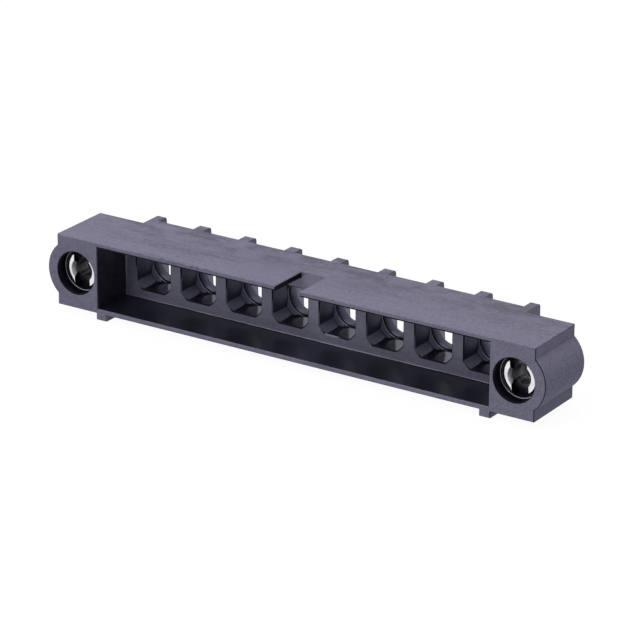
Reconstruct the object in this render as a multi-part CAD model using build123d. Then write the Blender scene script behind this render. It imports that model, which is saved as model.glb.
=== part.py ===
from build123d import *
import os

# Single-row shrouded board connector with a screw fixing at each end.
# Millimetres. X runs along the row, Y from the mating face to the rear, Z up from the board.

# Contact row
contact_count = 8
contact_pitch = 4.0
contact_axis_height = 2.65          # above the underside of the body
cavity_width = 3.0
cavity_height = 3.0
cavity_corner_radius = 1.78         # about the contact axis, rounds the four corners
cavity_mouth_break = 0.08           # chamfer round the mouth
cavity_mouth_break_angle = 45.0
contact_bore_margin = 0.01          # between the bore and the flats of the cavity
contact_lip_diameter = 2.8          # opening at the rear
contact_lip_length = 0.45

# Body
body_height = 5.5
end_block_depth = 5.4
end_block_overhang = 1.65           # flat end of the body beyond the fixing axis
end_round_inset = 0.25              # rounded end below the top face and above the underside
insulator_depth = 6.35              # mating face to the rear of the contact row
insulator_end_margin = 2.25         # last contact axis to the end of the row section
insulator_back_wall = 1.08          # from the foot of the cavity to the rear

# Mating shroud
shroud_depth = 3.45
shroud_roof_wall = 0.4
shroud_floor_wall = 0.35
shroud_side_wall = 0.335            # thinnest plastic between the shroud and a fixing hole
shroud_draft_angle = 1.0
shroud_foot_radius = 0.12           # inside, where the shroud meets the insulator face
polarising_slot_width = 2.05
polarising_slot_edge_radius = 0.12  # where the slot meets the top face
mating_face_edge_break = 0.06       # chamfer round every edge of the mating face

# Barrier ribs and standoff feet
rib_thickness = 0.83
rib_length = 1.15
rib_corner_radius = 0.3
foot_width = 0.9
foot_height = 0.5

# Fixing holes
fixing_hole_diameter = 3.25
fixing_hole_step_depth = 0.93
fixing_rear_wall = 0.65
fixing_rear_hole_diameter = 2.3
fixing_offset = 4.5                 # last contact axis to the fixing axis

# Threaded inserts
insert_diameter = 3.1
insert_seat_clearance = 0.02        # on diameter
insert_recess = 0.75                # nose behind the mating face
insert_nose_chamfer = 0.25
insert_tail_chamfer = 0.15
insert_slot_width = 1.36
insert_slot_depth = 0.65
insert_slot_lean_left = 1.5         # degrees from upright, where each insert was left
insert_slot_lean_right = 5.5
insert_thread_bore = 1.57           # basic minor diameter of the M2 thread
insert_mouth_diameter = 1.88        # the thread's countersunk mouth
insert_mouth_depth = 0.35

# Worked-out sizes
row_half_span = (contact_count - 1) * contact_pitch / 2
contact_bore_radius = cavity_height / 2 - contact_bore_margin
contact_cone_length = cavity_corner_radius - contact_bore_radius
insulator_half_width = row_half_span + insulator_end_margin
fixing_x = row_half_span + fixing_offset
flat_half_length = fixing_x + end_block_overhang
end_round_radius = body_height / 2 - end_round_inset
shroud_half_width = fixing_x - fixing_hole_diameter / 2 - shroud_side_wall
overall_depth = insulator_depth + rib_length

# Levels and depths in the part's own frame, whose origin is the bottom centre of the whole part
underside = foot_height
top = underside + body_height
middle_height = underside + body_height / 2
contact_height = underside + contact_axis_height
shroud_floor = underside + shroud_floor_wall
shroud_roof = top - shroud_roof_wall
mating_face = -overall_depth / 2
insulator_face = mating_face + shroud_depth
insulator_rear = mating_face + insulator_depth
cavity_end = insulator_rear - insulator_back_wall
lip_front = insulator_rear - contact_lip_length
rib_rear = insulator_rear + rib_length
end_block_rear = mating_face + end_block_depth
insert_nose = mating_face + insert_recess
insert_tail = end_block_rear - fixing_rear_wall


def prism(outline, start, end):
    """Extrude an outline drawn in the front view (X, Z) from one depth to another."""
    face = Plane.XZ.offset(-start) * outline
    return extrude(face, amount=end - start, dir=(0, 1, 0))


def turned(points, x, z):
    """Turn a half profile of (depth, radius) points about an axis that runs front to back."""
    axis_origin = (x, 0, z)
    half_section = Plane(origin=axis_origin, x_dir=(0, 1, 0), z_dir=(-1, 0, 0))
    profile = make_face(Polyline(*points, close=True))
    return revolve(half_section * profile, Axis(axis_origin, (0, 1, 0)))


def contact_positions():
    return [index * contact_pitch - row_half_span for index in range(contact_count)]


def rib_positions():
    return [index * contact_pitch - row_half_span - contact_pitch / 2 for index in range(contact_count + 1)]


def body_block():
    """End blocks with rounded ends, and the deeper row section between them."""
    outline = Pos(0, middle_height) * Rectangle(2 * flat_half_length, body_height)
    for side in (-1, 1):
        outline += Pos(side * fixing_x, middle_height) * Circle(end_round_radius)
    row_outline = Pos(0, middle_height) * Rectangle(2 * insulator_half_width, body_height)
    return prism(outline, mating_face, end_block_rear) + prism(row_outline, mating_face, insulator_rear)


def barrier_rib(x):
    """Upright plate between two contact tails, rounded at its rear top corner and flush with the row's end."""
    left = max(x - rib_thickness / 2, -insulator_half_width)
    right = min(x + rib_thickness / 2, insulator_half_width)
    side_view = Pos((cavity_end + rib_rear) / 2, middle_height) * Rectangle(rib_rear - cavity_end, body_height)
    rear_top_corner = side_view.vertices().sort_by(Axis.X)[-2:].sort_by(Axis.Y)[-1]
    side_view = fillet(rear_top_corner, rib_corner_radius)
    return extrude(Plane.YZ.offset(left) * side_view, amount=right - left, dir=(1, 0, 0))


def standoff_foot(side):
    """Rail under an end block that lifts the body off the board."""
    outline = Pos(side * insulator_half_width, foot_height) * Rectangle(foot_width, 2 * foot_height)
    return prism(outline, mating_face, end_block_rear)


def shroud_recess():
    """Mating recess, drafted so that it narrows towards the contact row."""
    height = shroud_roof - shroud_floor
    outline = Pos(0, shroud_floor + height / 2) * Rectangle(2 * shroud_half_width, height)
    mouth = Plane.XZ.offset(-mating_face) * outline
    recess = extrude(mouth, amount=-shroud_depth, taper=shroud_draft_angle)
    return fillet(recess.faces().sort_by(Axis.Y)[-1].edges(), shroud_foot_radius)


def cut_polarising_slot(block):
    """Keyway through the roof back to the contact row, its edges rounded into the top face."""
    depth_below_top = top - contact_height - cavity_height / 2
    outline = Pos(0, top) * Rectangle(polarising_slot_width, 2 * depth_below_top)
    slot = prism(outline, mating_face, insulator_face)
    slotted = block - slot
    rim = new_edges(block, slot, combined=slotted).group_by(Axis.Z)[-1]
    return fillet(rim, polarising_slot_edge_radius)


def contact_cavity(x):
    """Shape of the core pin: four flats along a round cavity, then a cone, a bore and a lip at the rear."""
    pin = turned(
        [
            (insulator_face, 0),
            (insulator_face, cavity_corner_radius),
            (cavity_end, cavity_corner_radius),
            (cavity_end + contact_cone_length, contact_bore_radius),
            (lip_front, contact_bore_radius),
            (lip_front, contact_lip_diameter / 2),
            (insulator_rear, contact_lip_diameter / 2),
            (insulator_rear, 0),
        ],
        x,
        contact_height,
    )
    flats = Rectangle(cavity_width, cavity_height)
    cavity = pin & prism(Pos(x, contact_height) * flats, insulator_face, insulator_rear)
    mouth_outline = offset(flats & Circle(cavity_corner_radius), amount=cavity_mouth_break, kind=Kind.INTERSECTION)
    mouth_face = Plane.XZ.offset(-insulator_face) * Pos(x, contact_height) * mouth_outline
    mouth = extrude(mouth_face, amount=-cavity_mouth_break, taper=cavity_mouth_break_angle)
    return cavity + mouth


def fixing_hole(x):
    """Stepped hole: wide at the mating face, then the insert's seat, then a clearance hole at the rear."""
    seat_radius = (insert_diameter + insert_seat_clearance) / 2
    step = mating_face + fixing_hole_step_depth
    return turned(
        [
            (mating_face, 0),
            (mating_face, fixing_hole_diameter / 2),
            (step, fixing_hole_diameter / 2),
            (step, seat_radius),
            (insert_tail, seat_radius),
            (insert_tail, fixing_rear_hole_diameter / 2),
            (end_block_rear, fixing_rear_hole_diameter / 2),
            (end_block_rear, 0),
        ],
        x,
        middle_height,
    )


def housing():
    """The moulded insulator: shroud, contact cavities, ribs, end blocks and feet in one piece."""
    shape = cut_polarising_slot(body_block())
    for x in rib_positions():
        shape += barrier_rib(x)
    for side in (-1, 1):
        shape += standoff_foot(side)
    shape -= shroud_recess()
    for x in contact_positions():
        shape -= contact_cavity(x)
    for side in (-1, 1):
        shape -= fixing_hole(side * fixing_x)
    mating_edges = shape.faces().filter_by(Axis.Y).sort_by(Axis.Y)[0].edges()
    return chamfer(mating_edges, mating_face_edge_break)


def threaded_insert(x, slot_lean):
    """Turned metal insert, screwed in from the front: slotted nose, countersunk mouth and a through thread."""
    radius = insert_diameter / 2
    bore_radius = insert_thread_bore / 2
    sleeve = turned(
        [
            (insert_nose, insert_mouth_diameter / 2),
            (insert_nose + insert_mouth_depth, bore_radius),
            (insert_tail, bore_radius),
            (insert_tail, radius - insert_tail_chamfer),
            (insert_tail - insert_tail_chamfer, radius),
            (insert_nose + insert_nose_chamfer, radius),
            (insert_nose, radius - insert_nose_chamfer),
        ],
        x,
        middle_height,
    )
    outline = Rectangle(insert_slot_width, 2 * insert_diameter, rotation=slot_lean)
    return sleeve - prism(Pos(x, middle_height) * outline, insert_nose, insert_nose + insert_slot_depth)


os.makedirs("parts", exist_ok=True)
export_step(housing(), "parts/housing.step")
for name, side, slot_lean in (("left", -1, insert_slot_lean_left), ("right", 1, insert_slot_lean_right)):
    export_step(threaded_insert(side * fixing_x, slot_lean), f"parts/threaded_insert_{name}.step")
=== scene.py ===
import math

import bmesh
import bpy
from mathutils import Matrix, Vector


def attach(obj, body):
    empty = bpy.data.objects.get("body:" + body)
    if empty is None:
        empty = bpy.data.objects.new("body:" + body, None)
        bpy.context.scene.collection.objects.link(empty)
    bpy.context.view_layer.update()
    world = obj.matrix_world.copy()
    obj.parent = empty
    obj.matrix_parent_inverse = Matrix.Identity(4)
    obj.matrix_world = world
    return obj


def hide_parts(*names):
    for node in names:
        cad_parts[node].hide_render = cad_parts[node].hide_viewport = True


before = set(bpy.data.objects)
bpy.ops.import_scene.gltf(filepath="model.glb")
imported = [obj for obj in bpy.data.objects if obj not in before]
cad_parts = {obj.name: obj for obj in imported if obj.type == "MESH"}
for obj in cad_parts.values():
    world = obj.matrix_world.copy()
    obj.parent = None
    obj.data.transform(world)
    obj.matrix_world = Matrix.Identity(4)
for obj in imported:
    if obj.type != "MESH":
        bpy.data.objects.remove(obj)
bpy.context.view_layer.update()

# a single-row board connector: a moulded housing with a threaded insert in each end; lengths are metres
mm = 0.001

# how far a corner may lie from a level and still be picked with it
tolerance = 0.01 * mm


# small helpers

def deselectAll():
    if bpy.context.mode != "OBJECT":
        bpy.ops.object.mode_set(mode="OBJECT")
    bpy.ops.object.select_all(action="DESELECT")


def makeActive(piece):
    deselectAll()
    piece.select_set(True)
    bpy.context.view_layer.objects.active = piece


def applyPlace(piece):
    makeActive(piece)
    bpy.ops.object.transform_apply(location=True, rotation=True, scale=True)


def applyModifiers(piece):
    makeActive(piece)
    for modifier in list(piece.modifiers):
        bpy.ops.object.modifier_apply(modifier=modifier.name)


def cutWith(piece, cutter):
    cut = piece.modifiers.new("cut", "BOOLEAN")
    cut.operation = "DIFFERENCE"
    cut.solver = "EXACT"
    cut.object = cutter
    applyModifiers(piece)
    bpy.data.objects.remove(cutter)


def roundEdges(piece, look):
    bevel = piece.modifiers.new("edgeRound", "BEVEL")
    bevel.limit_method = "ANGLE"
    bevel.angle_limit = math.radians(look["edgeAngle"])
    bevel.width = look["edgeRound"]
    bevel.segments = look["edgeSegments"]
    bevel.use_clamp_overlap = True
    bevel.miter_outer = "MITER_ARC"
    applyModifiers(piece)


def smoothByAngle(piece, angle):
    # the wide flats keep their own normals and only the small rounds bend the light
    makeActive(piece)
    bpy.ops.object.shade_smooth_by_angle(angle=math.radians(angle))
    weighted = piece.modifiers.new("flatsFirst", "WEIGHTED_NORMAL")
    weighted.mode = "FACE_AREA"
    weighted.weight = 100
    weighted.keep_sharp = True
    applyModifiers(piece)


def selectCorners(piece, wanted):
    # picks corners of the mesh by their place and says how many there are
    bpy.ops.mesh.select_mode(type="VERT")
    bpy.ops.mesh.select_all(action="DESELECT")
    mesh = bmesh.from_edit_mesh(piece.data)
    for vertex in mesh.verts:
        vertex.select = wanted(*vertex.co)
    mesh.select_flush(True)
    found = sum(vertex.select for vertex in mesh.verts)
    bmesh.update_edit_mesh(piece.data)
    return found


def dressPiece(piece, materials, choose, look):
    # gives each face the material that its place and normal call for
    names = list(materials)
    for material in materials.values():
        piece.data.materials.append(material)
    for face in piece.data.polygons:
        face.material_index = names.index(choose(face.center, face.normal, look))


# the moulded housing: the solid's surface with its sharp moulded edges eased

housingLook = {
    "weld": 0.0005 * mm,
    "flatAngle": 0.4,              # triangles that differ by less become one flat
    "edgeRound": 0.03 * mm,
    "edgeSegments": 2,
    "edgeAngle": 50,
    "smoothAngle": 32,

    # levels along the part's depth
    "matingFace": -3.75 * mm,
    "breakDepth": 0.1 * mm,        # the mating face's chamfers lie within this
    "insulatorFace": -0.30 * mm,
    "footGap": 0.03 * mm,          # the recess's own finish ends this far in front of the face
    "faceBand": 0.14 * mm,         # the face and the radius round it
    "insulatorRear": 2.60 * mm,
    "slack": 0.02 * mm,            # how far a face's middle may lie to either side of a level

    # shroud: x and z of two corners of the recess, and its roof
    "recess": ((-16.6 * mm, 0.80 * mm), (16.6 * mm, 5.65 * mm)),
    "slotHalfWidth": 1.2 * mm,
    "topEdge": 5.9 * mm,
    "roofEdge": 5.66 * mm,
    "roofEdgeRise": 0.06 * mm,

    # contact row
    "contactCount": 8,
    "contactPitch": 4.0 * mm,
    "contactAxisZ": 3.15 * mm,
    "rowHalfWidth": 16 * mm,
    "cavityBox": ((-1.60 * mm, 1.57 * mm), (1.60 * mm, 4.73 * mm)),    # x is from the contact's axis
    "cavityReach": 1.80 * mm,                  # from the contact's axis, just past its cavity's corners
    "boreReach": 1.495 * mm,                   # and just past its bore's wall
    "solidCone": (1.52 * mm, 1.81 * mm),       # where the solid's cone starts and ends
    "cone": (1.60 * mm, 1.72 * mm),            # where the photo shows it
    "boreEnd": 1.77 * mm,                      # a ring of painted highlight runs from here to the lip
    "solidLipFront": 2.15 * mm,
    "lipFront": 1.87 * mm,
    "solidLipRadius": 1.40 * mm,
    "lipRearRadius": 1.29 * mm,

    # barrier ribs
    "underside": 0.50 * mm,
    "ribHalf": 0.415 * mm,
    "ribSpread": 0.22 * mm,        # how much further out each side stands at the bottom
    "ribShade": 4.9 * mm,          # the sides carry painted shade above this height

    # fixing holes
    "fixingAxis": (18.5 * mm, 3.25 * mm),
    "fixingReach": 1.66 * mm,      # from the axis, just past the hole's wall
    "fixingShoulder": -3.25 * mm,  # the shoulders with a painted highlight lie behind this
    "fixingEnd": 1.5 * mm,

    # how much of a face's normal has to lie along an axis
    "facing": {
        "square": 0.97,
        "beyondChamfer": 0.95,
        "wall": 0.9,
        "front": 0.75,
        "shoulder": 0.6,
        "slant": 0.3,
        "cornerX": 0.15,
        "cornerZ": 0.1,
    },
}


def cavityFinish(y, normal, fromAxis, look):
    # floor and corners as the core pin left them, then the cone, the bore's ring and the lip; a mid tone
    # paints light on the corners and lips, the ring is a painted highlight, and the bore's walls and the
    # lip's front step are painted shade
    facing = look["facing"]
    if y > look["lipFront"] - look["slack"]:
        # the lip's front step is near black as painted shade; its bore takes the mid tone as painted light
        return "bored" if normal.y < -facing["shoulder"] else "scored"
    slanted = normal.y < -facing["slant"]
    if y > look["cone"][0] - look["slack"] and normal.z < facing["square"]:
        # a pale ring here is a painted highlight
        if y > look["boreEnd"]:
            return "burnished"
        # the bore's walls are near black as painted shade
        if not slanted:
            return "bored"
        # the corners take the lighter mid tone as painted light
        inCorner = abs(normal.x) > facing["cornerX"] and normal.z > facing["cornerZ"]
        return "scored" if inCorner else "drawn"
    if slanted or normal.z > facing["square"] or fromAxis < look["boreReach"]:
        return "cored"
    # the rounded corners and the roof take the lighter mid tone as painted light
    return "drawn" if abs(normal.x) > facing["square"] else "scored"


def mouthFinish(x, z, fromFixing, look):
    # the chamfers round the mating face, with a painted mid tone round the fixing holes and painted shade
    # under the roof's front edge
    (low, floor), (high, roof) = look["recess"]
    overRecess = low < x < high
    if z > look["topEdge"] or (overRecess and z < floor + look["breakDepth"]):
        return "textured"
    # the fixing holes' chamfers take a painted mid tone
    if fromFixing < look["fixingReach"] + look["breakDepth"]:
        return "scored"
    # the break under the roof's front edge is near black as painted shade
    underRoof = overRecess and z > look["roofEdge"] - look["roofEdgeRise"]
    return "bored" if underRoof else "polished"


def finishOf(center, normal, look):
    # the mould's cores leave some faces smooth; the rest comes from textured steel; chosen faces carry
    # painted shade, painted light and a painted highlight instead
    facing = look["facing"]
    x, y, z = center
    (low, floor), (high, roof) = look["recess"]
    (left, bottom), (right, top) = look["cavityBox"]
    pitch = look["contactPitch"]
    across = (x + pitch * look["contactCount"]) % pitch - pitch / 2
    inRow = look["insulatorFace"] + tolerance < y < look["insulatorRear"] - look["slack"]
    if inRow and left < across < right and bottom < z < top and abs(x) < look["rowHalfWidth"]:
        return cavityFinish(y, normal, math.hypot(across, z - look["contactAxisZ"]), look)

    axisX, axisZ = look["fixingAxis"]
    fromFixing = math.hypot(abs(x) - axisX, z - axisZ)
    behindMouth = y > look["matingFace"] + look["slack"]
    if behindMouth and fromFixing < look["fixingReach"] and y < look["fixingEnd"]:
        # the hole's shoulders are pale as a painted highlight, its walls near black as painted shade
        onShoulder = abs(normal.y) > facing["shoulder"] and y > look["fixingShoulder"]
        return "burnished" if onShoulder else "bored"
    chamfered = facing["slant"] < abs(normal.y) < facing["beyondChamfer"]
    if chamfered and y < look["matingFace"] + look["breakDepth"]:
        return mouthFinish(x, z, fromFixing, look)

    # the ribs' sides are darker above ribShade: painted shade
    if y > look["insulatorRear"] + tolerance and abs(normal.x) > facing["square"]:
        return "plain" if z < look["ribShade"] else "scored"
    acrossRecess = low < x < high and floor < z < roof
    atFace = abs(y - look["insulatorFace"]) < look["faceBand"] and normal.y < -facing["front"]
    if acrossRecess and atFace:
        return "plain"
    beforeFace = behindMouth and y < look["insulatorFace"] - look["footGap"]
    # the slot's walls are near black as painted shade
    if beforeFace and abs(x) < look["slotHalfWidth"] and abs(normal.x) > facing["wall"]:
        return "bored"
    return "polished" if beforeFace and acrossRecess else "textured"


def steepenRoofEdge(piece, look):
    # the break under the roof's front edge is taller than it is deep
    (low, floor), (high, roof) = look["recess"]
    front, edge = look["matingFace"] + tolerance, look["roofEdge"]
    found = selectCorners(piece, lambda x, y, z: low < x < high and y < front and abs(z - edge) < tolerance)
    print("roof edge", found, "corners")
    bpy.ops.transform.translate(value=(0, 0, look["roofEdgeRise"]))


def selectInBore(piece, axis, start, end, reach):
    # picks the corners within reach of a bore's axis, from one depth to another
    axisX, axisZ = axis
    return selectCorners(piece, lambda x, y, z: (
        start - tolerance < y < end + tolerance and math.hypot(x - axisX, z - axisZ) < reach))


def moveBoreSteps(piece, look):
    # the photo shows a shorter cone, the lip's step nearer the front and a lip that closes to the rear
    coneStart, coneEnd = look["solidCone"]
    newStart, newEnd = look["cone"]
    shrink = (newEnd - newStart) / (coneEnd - coneStart)
    closing = look["lipRearRadius"] / look["solidLipRadius"]
    step, rear, axisZ = look["solidLipFront"], look["insulatorRear"], look["contactAxisZ"]
    for index in range(look["contactCount"]):
        axisX = (index - (look["contactCount"] - 1) / 2) * look["contactPitch"]
        onCone = selectInBore(piece, (axisX, axisZ), coneStart, coneEnd, look["cavityReach"])
        bpy.ops.transform.resize(value=(1, shrink, 1), center_override=(axisX, coneStart, axisZ))
        bpy.ops.transform.translate(value=(0, newStart - coneStart, 0))
        onStep = selectInBore(piece, (axisX, axisZ), step, step, look["cavityReach"])
        bpy.ops.transform.translate(value=(0, look["lipFront"] - step, 0))
        atRear = selectInBore(piece, (axisX, axisZ), rear, rear, look["solidLipRadius"] + tolerance)
        bpy.ops.transform.resize(value=(closing, 1, closing), center_override=(axisX, rear, axisZ))
    print("bore steps", onCone, onStep, atRear, "corners in each cavity")


def spreadRibs(piece, look):
    # the windows seen through the bores show the ribs wider there than at the top
    count, moved = look["contactCount"], 0
    rear, bottom = look["insulatorRear"] - tolerance, look["underside"] + tolerance
    for index in range(count + 1):
        for side in (-1, 1):
            edgeX = (index - count / 2) * look["contactPitch"] + side * look["ribHalf"]
            moved += selectCorners(piece, lambda x, y, z: (
                abs(x - edgeX) < tolerance and y > rear and z < bottom))
            bpy.ops.transform.translate(value=(side * look["ribSpread"], 0, 0))
    print("ribs spread at", moved, "corners")


def splitRibSides(piece, look):
    # an edge across the ribs' sides, where the painted shade on them begins
    bpy.ops.mesh.select_mode(type="FACE")
    bpy.ops.mesh.select_all(action="DESELECT")
    mesh = bmesh.from_edit_mesh(piece.data)
    square, rear = look["facing"]["square"], look["insulatorRear"] + tolerance
    for face in mesh.faces:
        face.select = abs(face.normal.x) > square and face.calc_center_median().y > rear
    print("rib sides", sum(face.select for face in mesh.faces), "faces")
    bmesh.update_edit_mesh(piece.data)
    bpy.ops.mesh.bisect(plane_co=(0, 0, look["ribShade"]), plane_no=(0, 0, 1))


def makeHousing(look, plastics):
    # a copy with a mesh of its own and without the node's tags
    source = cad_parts["housing"]
    piece = source.copy()
    piece.data = source.data.copy()
    piece.name = "mouldedHousing"
    piece.parent = None
    for key in list(piece.keys()):
        del piece[key]
    piece.data.materials.clear()
    bpy.context.scene.collection.objects.link(piece)
    makeActive(piece)
    bpy.ops.mesh.customdata_custom_splitnormals_clear()
    bpy.ops.object.mode_set(mode="EDIT")
    bpy.ops.mesh.select_all(action="SELECT")
    bpy.ops.mesh.remove_doubles(threshold=look["weld"])
    bpy.ops.mesh.dissolve_limited(angle_limit=math.radians(look["flatAngle"]))
    steepenRoofEdge(piece, look)
    moveBoreSteps(piece, look)
    spreadRibs(piece, look)
    bpy.ops.mesh.select_all(action="SELECT")
    bpy.ops.mesh.bisect(plane_co=(0, look["boreEnd"], 0), plane_no=(0, 1, 0))
    splitRibSides(piece, look)
    bpy.ops.object.mode_set(mode="OBJECT")
    roundEdges(piece, look)
    smoothByAngle(piece, look["smoothAngle"])
    dressPiece(piece, plastics, finishOf, look)
    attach(piece, "root")
    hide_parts("housing")
    return piece


# the threaded inserts: turned, slotted and tapped

insertLook = {
    "weld": 0.001 * mm,
    "sides": 96,
    "edgeRound": 0.025 * mm,
    "edgeSegments": 2,
    "edgeAngle": 40,
    "smoothAngle": 30,
    "axisX": 18.5 * mm,
    "axisZ": 3.25 * mm,
    "noseY": -3.0 * mm,
    "tailY": 1.0 * mm,
    "radius": 1.55 * mm,
    "noseChamfer": 0.25 * mm,
    "tailChamfer": 0.15 * mm,
    "mouthRadius": 0.94 * mm,
    "mouthDepth": 0.35 * mm,
    "boreRadius": 0.785 * mm,
    "boreSlack": 0.012 * mm,
    "slotWidth": 1.36 * mm,
    "slotDepth": 0.65 * mm,
    "slotSlack": 0.03 * mm,
    "slotFloorBand": 0.1 * mm,
    "slotLeans": {"Left": 1.5, "Right": 5.5},
    "threadStart": -1.30 * mm,
    "threadPitch": 0.4 * mm,
    "threadReach": 1.0 * mm,       # groove bottom, from the axis
    "threadSlack": 0.02 * mm,
    "threadTurns": 6,
    "tapOverlap": 0.04 * mm,       # how far inside the bore the tap's flat side runs
    "tapSteps": 48,
    "tapWeld": 0.0005 * mm,

    # how much of a face's normal has to lie along an axis
    "facing": {"mouthMost": 0.95, "mouthLeast": 0.2, "slotWall": 0.8, "slotFloor": 0.3},
}


def ringTo(center, step, oldRadius, newRadius):
    # carries the open ring of edges on to the next diameter
    bpy.ops.mesh.extrude_edges_move(TRANSFORM_OT_translate={"value": (0, step, 0)})
    scale = newRadius / oldRadius
    if not math.isclose(scale, 1):
        bpy.ops.transform.resize(value=(scale, 1, scale), center_override=center)


def makeInsertBody(look):
    tailY, noseY = look["tailY"], look["noseY"]
    bore, wide = look["boreRadius"], look["radius"]
    profile = [
        (tailY, wide - look["tailChamfer"]),
        (tailY - look["tailChamfer"], wide),
        (noseY + look["noseChamfer"], wide),
        (noseY, wide - look["noseChamfer"]),
        (noseY, look["mouthRadius"]),
        (noseY + look["mouthDepth"], bore),
        (tailY, bore),
    ]
    deselectAll()
    bpy.ops.mesh.primitive_circle_add(
        vertices=look["sides"], radius=bore, fill_type="NOTHING",
        location=(look["axisX"], tailY, look["axisZ"]), rotation=(math.radians(90), 0, 0))
    body = bpy.context.object
    applyPlace(body)
    bpy.ops.object.mode_set(mode="EDIT")
    bpy.ops.mesh.select_all(action="SELECT")
    place, radius = tailY, bore
    for nextPlace, nextRadius in profile:
        center = (look["axisX"], nextPlace, look["axisZ"])
        ringTo(center, nextPlace - place, radius, nextRadius)
        place, radius = nextPlace, nextRadius
    bpy.ops.mesh.select_all(action="SELECT")
    bpy.ops.mesh.remove_doubles(threshold=look["weld"])
    bpy.ops.mesh.normals_make_consistent(inside=False)
    bpy.ops.object.mode_set(mode="OBJECT")
    return body


def makeSlotCutter(look, lean):
    deselectAll()
    bpy.ops.mesh.primitive_cube_add(
        size=1, location=(look["axisX"], look["noseY"], look["axisZ"]),
        rotation=(0, math.radians(-lean), 0),
        scale=(look["slotWidth"], 2 * look["slotDepth"], 4 * look["radius"]))
    cutter = bpy.context.object
    applyPlace(cutter)
    return cutter


def makeTap(look):
    # a three-sided rod wound round the axis: its outward corner cuts the sixty degree groove
    depth = look["threadReach"] - (look["boreRadius"] - look["tapOverlap"])
    corner = depth / 1.5           # a triangle is one and a half times as deep as its corners' radius
    deselectAll()
    bpy.ops.mesh.primitive_circle_add(
        vertices=3, radius=corner, fill_type="NOTHING",
        location=(look["threadReach"] - corner, 0, 0), rotation=(0, 0, math.radians(-90)))
    tap = bpy.context.object
    applyPlace(tap)
    winding = tap.modifiers.new("winding", "SCREW")
    winding.axis = "Y"
    winding.angle = math.radians(360)
    winding.screw_offset = look["threadPitch"]
    winding.iterations = look["threadTurns"]
    winding.steps = look["tapSteps"]
    winding.render_steps = look["tapSteps"]
    winding.use_smooth_shade = False
    applyModifiers(tap)
    bpy.ops.object.mode_set(mode="EDIT")
    bpy.ops.mesh.select_all(action="SELECT")
    bpy.ops.mesh.remove_doubles(threshold=look["tapWeld"])
    bpy.ops.mesh.fill_holes(sides=4)
    bpy.ops.mesh.normals_make_consistent(inside=False)
    bpy.ops.object.mode_set(mode="OBJECT")
    tap.location = (look["axisX"], look["threadStart"], look["axisZ"])
    applyPlace(tap)
    return tap


def cutOf(center, normal, look):
    # how each face was cut: turned bright, milled slot, reamed mouth, drilled or tapped bore; the slot and
    # thread take a near black metal as painted shade
    facing = look["facing"]
    x, y, z = center
    radius = math.hypot(x - look["axisX"], z - look["axisZ"])
    fromNose = y - look["noseY"]
    # the thread takes a near black metal as painted shade
    if radius < look["threadReach"] + look["threadSlack"] and y > look["threadStart"] - look["threadPitch"]:
        return "tapped"
    if radius < look["boreRadius"] + look["boreSlack"]:
        return "drilled"
    conical = normal.y > -facing["mouthMost"] and abs(normal.y) > facing["mouthLeast"]
    if conical and radius < look["mouthRadius"] and fromNose < look["mouthDepth"]:
        return "reamed"
    slack, depth = look["slotSlack"], look["slotDepth"]
    inSlot = abs(x - look["axisX"]) < look["slotWidth"] and slack < fromNose < depth + slack
    onWall = abs(normal.x) > facing["slotWall"]
    onFloor = normal.y < -facing["slotFloor"] and fromNose > depth - look["slotFloorBand"]
    # the slot's walls and floor take a near black metal as painted shade
    return "milled" if inSlot and (onWall or onFloor) else "turned"


def makeInsert(look, side, metals):
    body = makeInsertBody(look)
    cutWith(body, makeSlotCutter(look, look["slotLeans"][side]))
    roundEdges(body, look)
    cutWith(body, makeTap(look))
    smoothByAngle(body, look["smoothAngle"])
    dressPiece(body, metals, cutOf, look)
    if side == "Left":
        body.location = (-2 * look["axisX"], 0, 0)
        applyPlace(body)
    body.name = "turnedInsert" + side
    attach(body, "root")
    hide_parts("threaded_insert_" + side.lower())
    return body


# building blocks for shaders

def addMath(tree, operation, first, second=None, clamp=False):
    node = tree.nodes.new("ShaderNodeMath")
    node.operation = operation
    node.use_clamp = clamp
    for index, value in enumerate((first, second)):
        if value is None:
            continue
        if isinstance(value, (int, float)):
            node.inputs[index].default_value = value
        else:
            tree.links.new(value, node.inputs[index])
    return node.outputs[0]


def multiply(tree, product, *others):
    for other in others:
        product = addMath(tree, "MULTIPLY", product, other)
    return product


def addRange(tree, value, fromLow, fromHigh, toLow, toHigh):
    node = tree.nodes.new("ShaderNodeMapRange")
    for index, number in enumerate((fromLow, fromHigh, toLow, toHigh)):
        node.inputs[index + 1].default_value = number
    tree.links.new(value, node.inputs[0])
    return node.outputs[0]


def splitAxes(tree, vector):
    node = tree.nodes.new("ShaderNodeSeparateXYZ")
    tree.links.new(vector, node.inputs[0])
    return node.outputs


def alongRow(tree, position, fade):
    # a value that changes between two places along the part: both places, then both values
    return addRange(tree, splitAxes(tree, position)[0], *fade)


def scaled(tree, vector, scale):
    mapping = tree.nodes.new("ShaderNodeMapping")
    mapping.inputs["Scale"].default_value = scale
    tree.links.new(vector, mapping.inputs["Vector"])
    return mapping.outputs["Vector"]


def millimetres(tree):
    coordinates = tree.nodes.new("ShaderNodeTexCoord")
    return scaled(tree, coordinates.outputs["Object"], (1 / mm, 1 / mm, 1 / mm))


def mixColours(tree, mask, first, second):
    node = tree.nodes.new("ShaderNodeMix")
    node.data_type = "RGBA"
    tree.links.new(mask, node.inputs["Factor"])
    for socket, value in ((node.inputs[6], first), (node.inputs[7], second)):
        if isinstance(value, (tuple, list)):
            socket.default_value = (*value, 1.0)
        else:
            tree.links.new(value, socket)
    return node.outputs[2]


def addBump(tree, shader, height, strength, distance):
    bump = tree.nodes.new("ShaderNodeBump")
    bump.inputs["Strength"].default_value = strength
    bump.inputs["Distance"].default_value = distance
    tree.links.new(height, bump.inputs["Height"])
    tree.links.new(bump.outputs["Normal"], shader.inputs["Normal"])


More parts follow.
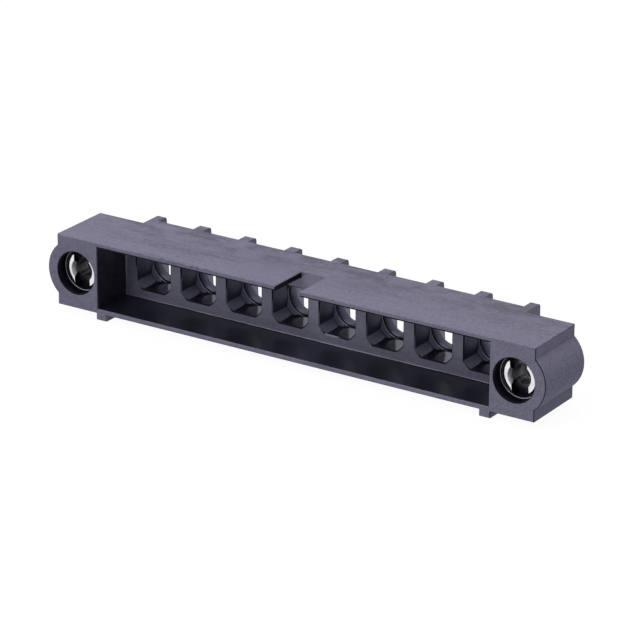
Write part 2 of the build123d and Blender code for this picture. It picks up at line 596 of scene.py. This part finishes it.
def startMaterial(name):
    material = bpy.data.materials.new(name)
    material.use_nodes = True
    return material, material.node_tree, material.node_tree.nodes["Principled BSDF"]


# the noises that the surfaces share: levels are the two that a noise is cut between, then what they become,
# and along is its scale along the row, where a low one draws it out

def recipe(levels, scale=1.0, detail=3.0, roughness=0.55, along=1.0, distortion=0.0):
    return {"levels": levels, "scale": scale, "detail": detail, "roughness": roughness,
            "along": along, "distortion": distortion}


noises = {
    "grain": recipe((0.3, 0.7, 0.0, 1.0), roughness=0.6),
    "mottle": recipe((0.32, 0.68, 0.0, 1.0), detail=4.0, along=0.3, distortion=0.4),
    "flowLines": recipe((0.44, 0.58, 0.0, 1.0), scale=2.4, along=0.06),
    "flowBands": recipe((0.46, 0.60, 0.0, 1.0), scale=0.45, detail=2.0, along=0.25),
    "flowFlecks": recipe((0.48, 0.62, 0.3, 1.0), scale=5.0, detail=2.0, along=0.35),
    "rubbedBreaks": recipe((0.35, 0.65, 0.15, 1.0), scale=3.0),
    "wornPatches": recipe((0.42, 0.60, 0.0, 1.0), scale=1.1, detail=5.0, roughness=0.62, along=0.45),
    "scuffDots": recipe((0.50, 0.57, 0.0, 0.9), scale=5.0, detail=1.0, along=0.7),
}

grainInHeight = 0.8        # the mottle makes up the rest of the height
flatPointiness = 0.5       # of a surface that is neither proud nor hollow


def noiseMask(tree, position, name, scale=None):
    noise = noises[name]
    node = tree.nodes.new("ShaderNodeTexNoise")
    for label in ("scale", "detail", "roughness", "distortion"):
        node.inputs[label.capitalize()].default_value = noise[label]
    tree.links.new(scaled(tree, position, (noise["along"], 1.0, 1.0)), node.inputs["Vector"])
    if scale is not None:
        tree.links.new(scale, node.inputs["Scale"])
    return addRange(tree, node.outputs["Fac"], *noise["levels"])


def startGroup(name, inputs, outputs):
    group = bpy.data.node_groups.new(name, "ShaderNodeTree")
    for label, kind, value in inputs:
        socket = group.interface.new_socket(name=label, in_out="INPUT", socket_type=kind)
        if value is not None:
            socket.default_value = value
    for label in outputs:
        group.interface.new_socket(name=label, in_out="OUTPUT", socket_type="NodeSocketFloat")
    return group, group.nodes.new("NodeGroupInput"), group.nodes.new("NodeGroupOutput")


def placeGroup(tree, group, **values):
    node = tree.nodes.new("ShaderNodeGroup")
    node.node_tree = group
    for label, value in values.items():
        socket = node.inputs[label.replace("_", " ")]
        if isinstance(value, (int, float)):
            socket.default_value = value
        else:
            tree.links.new(value, socket)
    return node


def makeGrainGroup():
    # fine speckle, its coarser mottle, a height for both, and flow lines; positions come in as millimetres
    inputs = [
        ("Position", "NodeSocketVector", None),
        ("Grain Size", "NodeSocketFloat", 0.1),
        ("Mottle Size", "NodeSocketFloat", 1.0),
    ]
    group, start, end = startGroup("surfaceGrain", inputs, ("Grain", "Mottle", "Streak", "Height"))
    position = start.outputs["Position"]
    grainScale = addMath(group, "DIVIDE", 1.0, start.outputs["Grain Size"])
    mottleScale = addMath(group, "DIVIDE", 1.0, start.outputs["Mottle Size"])
    grain = noiseMask(group, position, "grain", grainScale)
    mottle = noiseMask(group, position, "mottle", mottleScale)
    grainHeight = multiply(group, grain, grainInHeight)
    height = addMath(group, "ADD", grainHeight, multiply(group, mottle, 1 - grainInHeight))
    # the melt's flow lines run along the row, gathered in loose bands with dark flecks in them
    flow = [noiseMask(group, position, name) for name in ("flowLines", "flowBands", "flowFlecks")]
    streak = multiply(group, *flow)
    for label, value in (("Grain", grain), ("Mottle", mottle), ("Streak", streak), ("Height", height)):
        group.links.new(value, end.inputs[label])
    return group


def makeEdgeGroup():
    # where an edge stands proud it is rubbed; broken up so that it isn't an even line
    inputs = [("Position", "NodeSocketVector", None), ("Width", "NodeSocketFloat", 0.05)]
    group, start, end = startGroup("rubbedEdge", inputs, ("Mask",))
    geometry = group.nodes.new("ShaderNodeNewGeometry")
    proud = addMath(group, "SUBTRACT", geometry.outputs["Pointiness"], flatPointiness)
    proud = addMath(group, "DIVIDE", proud, start.outputs["Width"], clamp=True)
    broken = noiseMask(group, start.outputs["Position"], "rubbedBreaks")
    group.links.new(addMath(group, "MULTIPLY", proud, broken, clamp=True), end.inputs["Mask"])
    return group


def placeEffects(tree, position, look, grainGroup, edgeGroup):
    # both shared effects with one material's values: the grain's outputs and the rubbed edges' mask
    grain = placeGroup(
        tree, grainGroup, Position=position,
        Grain_Size=look["grainSize"], Mottle_Size=look["mottleSize"])
    edge = placeGroup(tree, edgeGroup, Position=position, Width=look["rubbedWidth"])
    return grain.outputs, edge.outputs["Mask"]


# glass-filled plastic of the housing: lengths that aren't marked mm are millimetres in the shader

texturedLook = {
    "name": "texturedPlastic",
    "colour": (0.176, 0.170, 0.236),
    "darkColour": (0.136, 0.132, 0.186),
    "paleColour": (0.330, 0.320, 0.425),
    "rubbedColour": (0.24, 0.235, 0.31),
    "rubbedWidth": 0.06,
    "rubbedShare": 0.5,
    "streakColour": (0.080, 0.080, 0.094),
    "streak": 0.85,
    "streakAlong": ((-19.0, -12.0, 0.35, 1.0), (-3.0, 9.0, 1.0, 0.3)),
    "wornColour": (0.104, 0.103, 0.128),
    "worn": {
        "from": -2.4,
        "to": 1.6,
        "share": 0.85,
        "above": 5.9,
        "patchesAlong": (-3.0, 9.0, 1.0, 0.7),
        "driftAlong": (-14.0, 20.0, 0.0, 0.40),
    },
    "scuffColour": (0.02, 0.02, 0.03),
    "scuffs": {"from": -9.8, "to": -5.8, "fadeIn": 1, "fadeOut": 2, "below": -3.67, "above": 5.80},
    "speckle": 0.38,
    "speckleEase": 0.24,           # the higher, the sharper the grain's contrast
    "speckleAlong": (-3.0, 9.0, 0.9, 1.35),
    "roughLow": 0.58,
    "roughHigh": 0.74,
    "specular": 0.08,
    "specularTint": (0.86, 0.86, 1.0),
    "grainSize": 0.13,
    "mottleSize": 0.8,
    "grainDepth": 0.008 * mm,
    "bumpStrength": 0.6,
}

# walls and floor of the recess
polishedLook = dict(
    texturedLook, name="polishedPlastic", streak=0.0, speckle=0.5, speckleEase=0.0,
    colour=(0.012, 0.012, 0.021), darkColour=(0.008, 0.008, 0.014), paleColour=(0.017, 0.017, 0.029),
    rubbedColour=(0.05, 0.05, 0.065), roughLow=0.30, roughHigh=0.40, specular=0.29,
    specularTint=(0.66, 0.67, 1.0), grainSize=0.2, mottleSize=1.8, grainDepth=0.0006 * mm)

# floors and bores of the cavities, left by polished core pins
coredLook = dict(
    polishedLook, name="coredPlastic",
    colour=(0.009, 0.009, 0.016), darkColour=(0.006, 0.006, 0.011), paleColour=(0.013, 0.013, 0.023),
    roughLow=0.10, roughHigh=0.16, specular=0.6, specularTint=(0.75, 0.78, 1.0),
    mottleSize=1.2, grainDepth=0.0004 * mm)

# side walls of the cavities, scored a little as the pins were drawn
drawnLook = dict(
    coredLook, name="drawnPlastic",
    colour=(0.032, 0.034, 0.064), darkColour=(0.023, 0.025, 0.048), paleColour=(0.041, 0.043, 0.078),
    roughLow=0.34, roughHigh=0.46, specular=0.22, specularTint=(0.62, 0.66, 1.0), grainDepth=0.001 * mm)

# one mid tone: painted light on the cavities' rounded corners, roofs and lips, painted shade on the ribs'
# upper sides, and a painted tone on the fixing holes' chamfers
paintedLightAndShadeLook = dict(
    drawnLook, name="paintedLightAndShadePlastic",
    colour=(0.095, 0.092, 0.145), darkColour=(0.074, 0.072, 0.118), paleColour=(0.118, 0.114, 0.175),
    roughLow=0.26, roughHigh=0.36, specular=0.40, specularTint=(0.74, 0.76, 1.0))

# face of the contact row, smoother than the outside
plainLook = dict(
    texturedLook, name="plainPlastic", streak=0.0, speckle=0.28,
    colour=(0.168, 0.164, 0.224), darkColour=(0.142, 0.139, 0.190), paleColour=(0.25, 0.244, 0.33),
    roughLow=0.22, roughHigh=0.30, specular=0.72, specularTint=(0.88, 0.89, 1.0),
    grainSize=0.3, mottleSize=1.6, grainDepth=0.0015 * mm)

# painted highlight: a pale colour on the small shoulders in the fixing holes and on a ring in each cavity's
# bore, where an edge catches the light
paintedHighlightLook = dict(
    plainLook, name="paintedHighlightPlastic",
    colour=(0.52, 0.51, 0.58), darkColour=(0.42, 0.41, 0.48), paleColour=(0.62, 0.61, 0.68),
    roughLow=0.34, roughHigh=0.46, specular=0.3)

# painted shade: near black and nearly without reflection, on the walls of the fixing holes, the slot and
# the cavities' bores, and as thin lines under the roof's edge and on the lips' front steps
paintedShadeLook = dict(
    polishedLook, name="paintedShadePlastic",
    colour=(0.004, 0.004, 0.008), darkColour=(0.003, 0.003, 0.006), paleColour=(0.006, 0.006, 0.011),
    roughLow=0.34, roughHigh=0.44, specular=0.03, grainDepth=0.0005 * mm)

# in the order of the housing's material slots
plasticLooks = {
    "textured": texturedLook,
    "polished": polishedLook,
    "cored": coredLook,
    "drawn": drawnLook,
    "bored": paintedShadeLook,
    "plain": plainLook,
    "burnished": paintedHighlightLook,
    "scored": paintedLightAndShadeLook,
}


def wornMask(tree, position, worn):
    # handling leaves the rear of the top greyer, in loose patches
    x, y, z = splitAxes(tree, position)
    rearward = addRange(tree, y, worn["from"], worn["to"], 0.0, worn["share"])
    fading = alongRow(tree, position, worn["patchesAlong"])
    patches = multiply(tree, rearward, noiseMask(tree, position, "wornPatches"), fading)
    drift = alongRow(tree, position, worn["driftAlong"])
    onTop = addMath(tree, "GREATER_THAN", z, worn["above"])
    return multiply(tree, addMath(tree, "ADD", patches, drift, clamp=True), onTop)


def scuffMask(tree, position, scuffs):
    # a run of small pits along the roof's front edge
    x, y, z = splitAxes(tree, position)
    starting = addRange(tree, x, scuffs["from"], scuffs["from"] + scuffs["fadeIn"], 0.0, 1.0)
    ending = addRange(tree, x, scuffs["to"] - scuffs["fadeOut"], scuffs["to"], 1.0, 0.0)
    atFront = addMath(tree, "LESS_THAN", y, scuffs["below"])
    onTop = addMath(tree, "GREATER_THAN", z, scuffs["above"])
    return multiply(tree, noiseMask(tree, position, "scuffDots"), starting, ending, atFront, onTop)


def addMarks(tree, position, colour, streak, look):
    # wear, flow lines and pits, which only the outside has
    colour = mixColours(tree, wornMask(tree, position, look["worn"]), colour, look["wornColour"])
    fades = (alongRow(tree, position, fade) for fade in look["streakAlong"])
    colour = mixColours(tree, multiply(tree, streak, look["streak"], *fades), colour, look["streakColour"])
    return mixColours(tree, scuffMask(tree, position, look["scuffs"]), colour, look["scuffColour"])


def makePlastic(look, grainGroup, edgeGroup):
    material, tree, shader = startMaterial(look["name"])
    shader.inputs["Specular IOR Level"].default_value = look["specular"]
    shader.inputs["Specular Tint"].default_value = (*look["specularTint"], 1.0)
    position = millimetres(tree)
    grain, edge = placeEffects(tree, position, look, grainGroup, edgeGroup)
    colour = mixColours(tree, grain["Mottle"], look["darkColour"], look["colour"])
    ease = look["speckleEase"]
    speckle = addRange(tree, grain["Grain"], ease, 1 - ease, 0.0, look["speckle"])
    if look["streak"]:
        speckle = multiply(tree, speckle, alongRow(tree, position, look["speckleAlong"]))
    colour = mixColours(tree, speckle, colour, look["paleColour"])
    if look["streak"]:
        colour = addMarks(tree, position, colour, grain["Streak"], look)
    rubbed = multiply(tree, edge, look["rubbedShare"])
    tree.links.new(mixColours(tree, rubbed, colour, look["rubbedColour"]), shader.inputs["Base Color"])
    rough = addRange(tree, grain["Mottle"], 0.0, 1.0, look["roughLow"], look["roughHigh"])
    tree.links.new(rough, shader.inputs["Roughness"])
    addBump(tree, shader, grain["Height"], look["bumpStrength"], look["grainDepth"])
    return material


# metal of the inserts: bright where it is turned, duller in the mouth, and near black in the slot and
# thread as painted shade

turnedLook = {
    "name": "brightTurnedMetal",
    "colour": (0.92, 0.91, 0.84),
    "dullColour": (0.74, 0.73, 0.68),
    "roughLow": 0.05,
    "roughHigh": 0.10,
    "grainSize": 0.09,
    "mottleSize": 0.6,
    "rubbedWidth": 0.08,
    "ringScale": 6.0,
    "ringWaver": 0.6,
    "ringDetail": 2.0,
    "ringDepth": 0.0004 * mm,
    "grainShare": 0.4,
    "bumpStrength": 0.5,
}

# near black metal in the slot: painted shade
milledSlotShadeLook = dict(
    turnedLook, name="milledSlotShadeMetal", colour=(0.085, 0.080, 0.090), dullColour=(0.045, 0.043, 0.048),
    roughLow=0.20, roughHigh=0.30)
reamedLook = dict(
    turnedLook, name="reamedMetal", colour=(0.80, 0.79, 0.84), dullColour=(0.58, 0.57, 0.61),
    roughLow=0.46, roughHigh=0.56)
# near black metal in the thread: painted shade
tappedThreadShadeLook = dict(
    turnedLook, name="tappedThreadShadeMetal", colour=(0.085, 0.082, 0.085), dullColour=(0.05, 0.048, 0.052),
    roughLow=0.24, roughHigh=0.34)
drilledLook = dict(
    turnedLook, name="drilledMetal", colour=(0.52, 0.51, 0.52), dullColour=(0.38, 0.37, 0.38),
    roughLow=0.40, roughHigh=0.50)

# in the order of the inserts' material slots
metalLooks = {
    "turned": turnedLook,
    "milled": milledSlotShadeLook,
    "reamed": reamedLook,
    "tapped": tappedThreadShadeLook,
    "drilled": drilledLook,
}


def aboutAxis(tree, position, axisX, axisZ):
    # places about the nearer insert's axis, in millimetres
    x, y, z = splitAxes(tree, position)
    join = tree.nodes.new("ShaderNodeCombineXYZ")
    tree.links.new(addMath(tree, "SUBTRACT", addMath(tree, "ABSOLUTE", x), axisX / mm), join.inputs[0])
    tree.links.new(y, join.inputs[1])
    tree.links.new(addMath(tree, "SUBTRACT", z, axisZ / mm), join.inputs[2])
    return join.outputs[0]


def makeMetal(look, axisX, axisZ, grainGroup, edgeGroup):
    material, tree, shader = startMaterial(look["name"])
    shader.inputs["Metallic"].default_value = 1.0
    position = millimetres(tree)
    rings = tree.nodes.new("ShaderNodeTexWave")
    rings.wave_type = "RINGS"
    rings.rings_direction = "Y"
    rings.inputs["Scale"].default_value = look["ringScale"]
    rings.inputs["Distortion"].default_value = look["ringWaver"]
    rings.inputs["Detail"].default_value = look["ringDetail"]
    tree.links.new(aboutAxis(tree, position, axisX, axisZ), rings.inputs["Vector"])
    grain, edge = placeEffects(tree, position, look, grainGroup, edgeGroup)
    colour = mixColours(tree, grain["Mottle"], look["dullColour"], look["colour"])
    colour = mixColours(tree, edge, colour, look["colour"])
    tree.links.new(colour, shader.inputs["Base Color"])
    rough = addRange(tree, grain["Mottle"], 0.0, 1.0, look["roughHigh"], look["roughLow"])
    tree.links.new(rough, shader.inputs["Roughness"])
    height = addMath(tree, "ADD", rings.outputs["Fac"], multiply(tree, grain["Height"], look["grainShare"]))
    addBump(tree, shader, height, look["bumpStrength"], look["ringDepth"])
    return material


# floor, world, lamps and camera

studio = {
    "floorSize": 4.0,
    "floorHeight": -0.01 * mm,       # just clear of the feet
    "floorColour": (0.07, 0.07, 0.07),
    "floorRoughness": 0.9,
    "floorGlow": 0.95,               # as the camera and reflections see it
    "floorDiffuse": 0.36,            # as it lights the part
    "floorTint": (0.90, 0.95, 1.0),
    "worldDiffuse": 0.36,
    "white": (1, 1, 1),
    "tentTint": (0.88, 0.89, 1.0),   # as glossy surfaces mirror it
    "lampColour": (1.0, 0.975, 0.985),
    "lamps": {
        "overhead": {"place": (0.0, 0.10, 0.58), "aim": (0, 0, 0), "size": 0.45, "watts": 1.5},
        "front": {"place": (-0.22, -0.40, 0.45), "aim": (0, 0, 0), "size": 0.45, "watts": 1.8},
    },
}


def seenRays(tree):
    # the ray kinds, and a mask of those that see the tent and aren't lit by it
    rays = tree.nodes.new("ShaderNodeLightPath").outputs
    seen = addMath(tree, "ADD", rays["Is Camera Ray"], rays["Is Glossy Ray"], clamp=True)
    return rays, addMath(tree, "ADD", seen, rays["Is Transmission Ray"], clamp=True)


def makeFloor(look):
    deselectAll()
    bpy.ops.mesh.primitive_plane_add(size=look["floorSize"], location=(0, 0, look["floorHeight"]))
    floor = bpy.context.object
    floor.name = "floor"
    material, tree, shader = startMaterial("whiteFloor")
    shader.inputs["Base Color"].default_value = (*look["floorColour"], 1.0)
    shader.inputs["Roughness"].default_value = look["floorRoughness"]
    shader.inputs["Specular IOR Level"].default_value = 0.0
    rays, seen = seenRays(tree)
    colour = mixColours(tree, seen, look["floorTint"], look["white"])
    colour = mixColours(tree, rays["Is Glossy Ray"], colour, look["tentTint"])
    tree.links.new(colour, shader.inputs["Emission Color"])
    glow = addRange(tree, seen, 0.0, 1.0, look["floorDiffuse"], look["floorGlow"])
    tree.links.new(glow, shader.inputs["Emission Strength"])
    floor.data.materials.append(material)
    return floor


def makeWorld(look):
    world = bpy.data.worlds.new("lightTent")
    bpy.context.scene.world = world
    world.use_nodes = True
    tree = world.node_tree
    tree.nodes.clear()
    output = tree.nodes.new("ShaderNodeOutputWorld")
    background = tree.nodes.new("ShaderNodeBackground")
    rays, seen = seenRays(tree)
    colour = mixColours(tree, rays["Is Glossy Ray"], look["white"], look["tentTint"])
    tree.links.new(colour, background.inputs["Color"])
    strength = addRange(tree, seen, 0.0, 1.0, look["worldDiffuse"], 1.0)
    tree.links.new(strength, background.inputs["Strength"])
    tree.links.new(background.outputs[0], output.inputs["Surface"])


def makeLamps(look):
    for name, lamp in look["lamps"].items():
        deselectAll()
        bpy.ops.object.light_add(type="AREA", location=lamp["place"])
        light = bpy.context.object
        light.name = name + "Lamp"
        light.data.shape = "SQUARE"
        light.data.size = lamp["size"]
        light.data.energy = lamp["watts"]
        light.data.color = look["lampColour"]
        direction = Vector(lamp["aim"]) - Vector(lamp["place"])
        light.rotation_euler = direction.to_track_quat("-Z", "Y").to_euler()


viewpoint = {
    "place": (0.13160, -0.20472, 0.09851),
    "azimuth": -32.66,
    "elevation": 21.55,
    "roll": 0.41,
    "lens": 205.57,
    "sensor": 36.0,
    "clipStart": 0.01,
}


def makeCamera(look):
    turn, dip, roll = (math.radians(look[key]) for key in ("azimuth", "elevation", "roll"))
    forward = Vector((math.sin(turn) * math.cos(dip), math.cos(turn) * math.cos(dip), -math.sin(dip)))
    right = forward.cross(Vector((0, 0, 1))).normalized()
    up = right.cross(forward)
    rolledRight = math.cos(roll) * right + math.sin(roll) * up
    rolledUp = math.cos(roll) * up - math.sin(roll) * right
    deselectAll()
    bpy.ops.object.camera_add(location=look["place"])
    camera = bpy.context.object
    turned = Matrix((rolledRight, rolledUp, -forward)).transposed().to_4x4()
    camera.matrix_world = Matrix.Translation(look["place"]) @ turned
    camera.data.lens = look["lens"]
    camera.data.sensor_width = look["sensor"]
    camera.data.clip_start = look["clipStart"]
    bpy.context.scene.camera = camera


# build

makeCamera(viewpoint)
makeWorld(studio)
makeFloor(studio)
makeLamps(studio)
print("studio ready")

grainGroup = makeGrainGroup()
edgeGroup = makeEdgeGroup()
plastics = {name: makePlastic(look, grainGroup, edgeGroup) for name, look in plasticLooks.items()}
axisX, axisZ = insertLook["axisX"], insertLook["axisZ"]
metals = {name: makeMetal(look, axisX, axisZ, grainGroup, edgeGroup) for name, look in metalLooks.items()}
print("materials ready")

housing = makeHousing(housingLook, plastics)
print("housing ready", len(housing.data.polygons), "faces")

for side in ("Left", "Right"):
    insert = makeInsert(insertLook, side, metals)
    print(insert.name, "ready", len(insert.data.polygons), "faces")

bpy.context.scene.view_settings.view_transform = "Standard"
